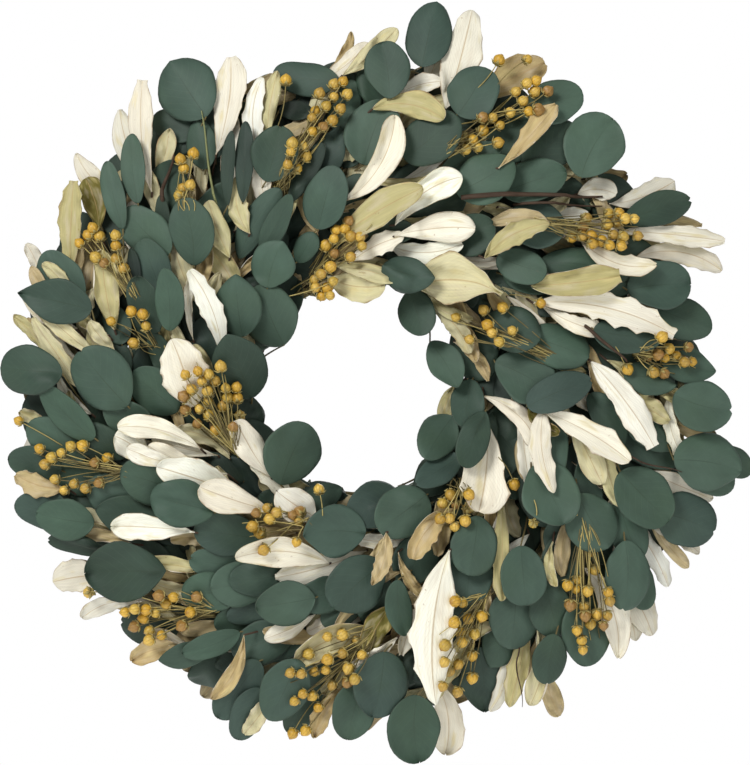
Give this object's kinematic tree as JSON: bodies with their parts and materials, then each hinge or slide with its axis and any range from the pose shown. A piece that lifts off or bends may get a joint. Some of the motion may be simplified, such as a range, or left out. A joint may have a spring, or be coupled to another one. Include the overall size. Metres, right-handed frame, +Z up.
{
  "type": "dried foliage wreath",
  "caption": "Round wall wreath of dried eucalyptus, long pale leaves and flax seed pods wired as overlapping sprigs to a two-rail wire frame with a folding hanger loop.",
  "frame": {"origin": "inside top of the hanger loop, where a hook carries the wreath, on the middle plane of the frame's rails", "axes": "+Z up, the wreath hangs in the XZ plane with its front towards -Y and the wall on its +Y side"},
  "size_m": [0.5555, 0.0844, 0.5728],
  "materials": {
    "frame_wire": "dark green enamel, satin",
    "binding_wire": "green enamelled florist's wire, satin",
    "hanger_wire": "galvanised, satin",
    "eucalyptus": "matte grey-green leaf with a pale bloom",
    "integrifolia": "matte cream underside, olive and tan upper side",
    "flax": "matte golden straw"
  },
  "bodies": {
    "wreath": {"outer_rail": "frame_wire", "inner_rail": "frame_wire", "brace_1": "frame_wire", "brace_2": "frame_wire", "brace_3": "frame_wire", "brace_4": "frame_wire", "brace_5": "frame_wire", "brace_6": "frame_wire", "binding_wire": "binding_wire", "eucalyptus_1": "eucalyptus", "eucalyptus_2": "eucalyptus", "eucalyptus_3": "eucalyptus", "eucalyptus_4": "eucalyptus", "eucalyptus_5": "eucalyptus", "eucalyptus_6": "eucalyptus", "eucalyptus_7": "eucalyptus", "eucalyptus_8": "eucalyptus", "eucalyptus_9": "eucalyptus", "eucalyptus_10": "eucalyptus", "eucalyptus_11": "eucalyptus", "eucalyptus_12": "eucalyptus", "eucalyptus_13": "eucalyptus", "eucalyptus_14": "eucalyptus", "eucalyptus_15": "eucalyptus", "eucalyptus_16": "eucalyptus", "integrifolia_1": "integrifolia", "integrifolia_2": "integrifolia", "integrifolia_3": "integrifolia", "integrifolia_4": "integrifolia", "integrifolia_5": "integrifolia", "integrifolia_6": "integrifolia", "integrifolia_7": "integrifolia", "integrifolia_8": "integrifolia", "integrifolia_9": "integrifolia", "integrifolia_10": "integrifolia", "integrifolia_11": "integrifolia", "integrifolia_12": "integrifolia", "integrifolia_13": "integrifolia", "integrifolia_14": "integrifolia", "integrifolia_15": "integrifolia", "integrifolia_16": "integrifolia", "flax_1": "flax", "flax_2": "flax", "flax_3": "flax", "flax_4": "flax", "flax_5": "flax", "flax_6": "flax", "flax_7": "flax", "flax_8": "flax", "flax_9": "flax", "flax_10": "flax", "flax_11": "flax", "flax_12": "flax", "flax_13": "flax", "flax_14": "flax", "flax_15": "flax", "flax_16": "flax"},
    "hanger": {"hanger_loop": "hanger_wire"}
  },
  "joints": [
    {"name": "hanger_hinge", "type": "hinge", "parent": "wreath", "child": "hanger", "pos_m": [0, 0, -0.03014], "axis": [1, 0, 0], "range_deg": [-120, 0]}
  ]
}
